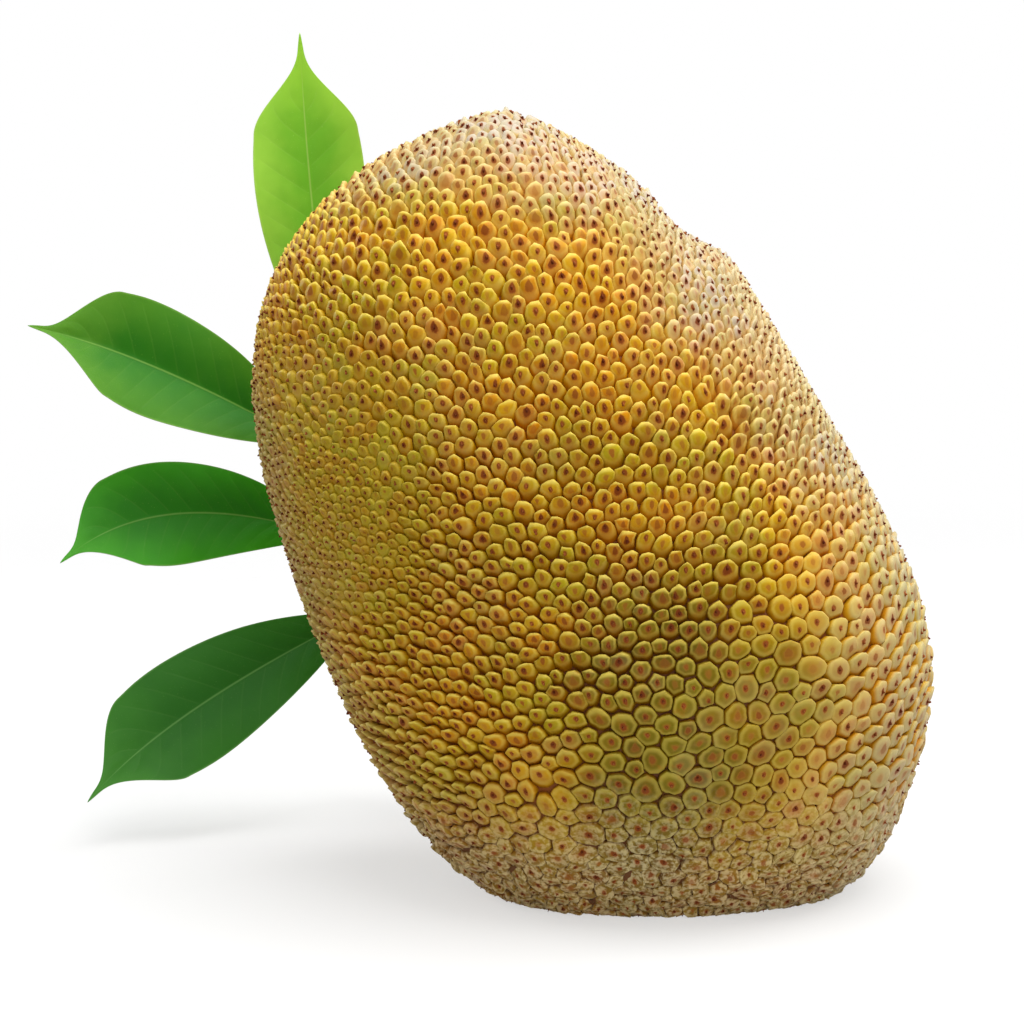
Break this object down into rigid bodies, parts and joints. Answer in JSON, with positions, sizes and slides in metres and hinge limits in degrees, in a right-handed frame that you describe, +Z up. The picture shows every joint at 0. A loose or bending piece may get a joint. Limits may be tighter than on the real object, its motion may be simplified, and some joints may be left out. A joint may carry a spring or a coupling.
{
  "type": "jackfruit",
  "caption": "Whole ripe jackfruit with a spiny golden-olive rind, standing on the small flat spot under its heavy end, with its cut stalk and a leafy shoot behind.",
  "frame": {"origin": "middle of the flat spot that the fruit stands on", "axes": "+Z up, away from the surface it stands on; +X towards the fruit's heavy end; +Y towards the side that the stalk and the leafy shoot grow from, so that the side seen from -Y is the show side"},
  "size_m": [0.3918, 0.2685, 0.3672],
  "materials": {
    "rind": "Tough spiny rind, satin: golden orange in the grooves, olive yellow towards the heavy end, pale cream on the crests, with a red-brown scar on each spine.",
    "stalk_wood": "Matte grey-brown bark with fine furrows, and a pale cut face that dried latex has stained.",
    "shoot_bark": "Satin green-brown young bark with raised rings at the nodes.",
    "young_leaf": "Thin leathery young leaf, lime green and softly glossy, with a pale midrib and side veins.",
    "old_leaf": "Leathery mature leaf, deep glossy green with a paler midrib and side veins, and duller underneath."
  },
  "bodies": {
    "root": {"fruit": "rind", "stalk": "stalk_wood", "shoot": "shoot_bark", "leaf_top": "young_leaf", "leaf_upper": "old_leaf", "leaf_middle": "old_leaf", "leaf_lower": "old_leaf"}
  },
  "joints": []
}
